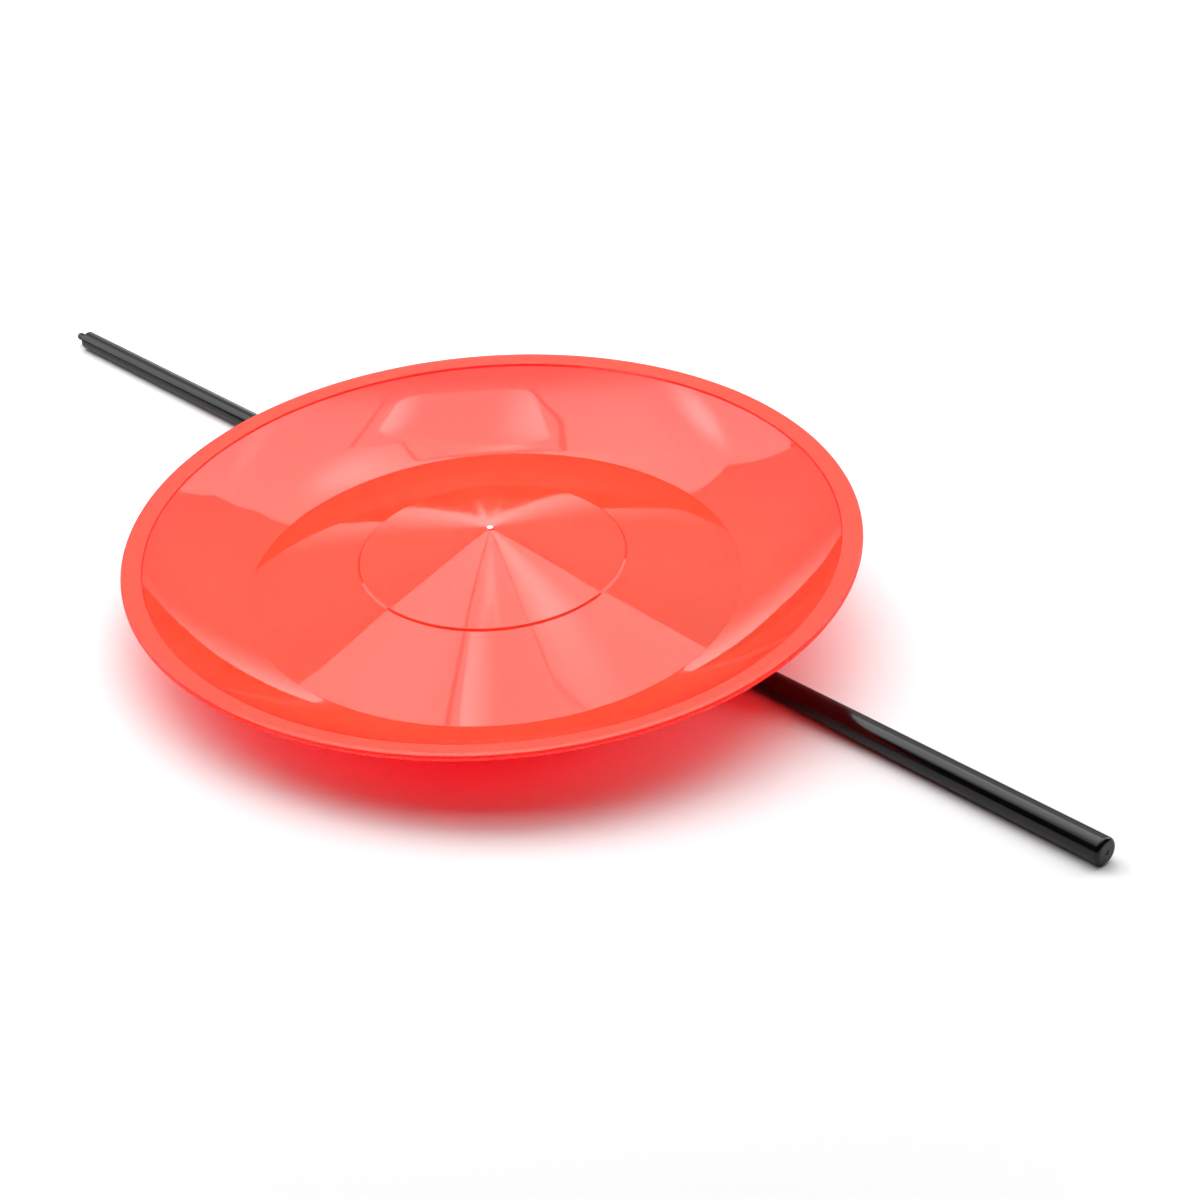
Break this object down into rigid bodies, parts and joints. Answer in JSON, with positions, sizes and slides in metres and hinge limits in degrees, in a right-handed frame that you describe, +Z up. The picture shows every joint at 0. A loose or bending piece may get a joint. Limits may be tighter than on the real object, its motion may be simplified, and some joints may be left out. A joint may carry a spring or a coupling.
{
  "type": "spinning plate with stick",
  "caption": "Round moulded plate with a coned base and foot ring, leaning on the tapered stick that it is spun on.",
  "frame": {"origin": "on the table, under the middle of the pair's box", "axes": "+X along the stick from its tip to its butt, +Z up from the table"},
  "size_m": [0.482, 0.2394, 0.0388],
  "materials": {
    "plate_plastic": "glossy translucent red moulded polypropylene",
    "stick_plastic": "satin black moulded plastic"
  },
  "bodies": {
    "stick": {"stick": "stick_plastic"},
    "plate": {"plate": "plate_plastic"}
  },
  "joints": [
    {"name": "plate_lift", "type": "slide", "parent": "stick", "child": "plate", "axis": [0, 0, 1], "range_m": [0, 0.15]}
  ]
}
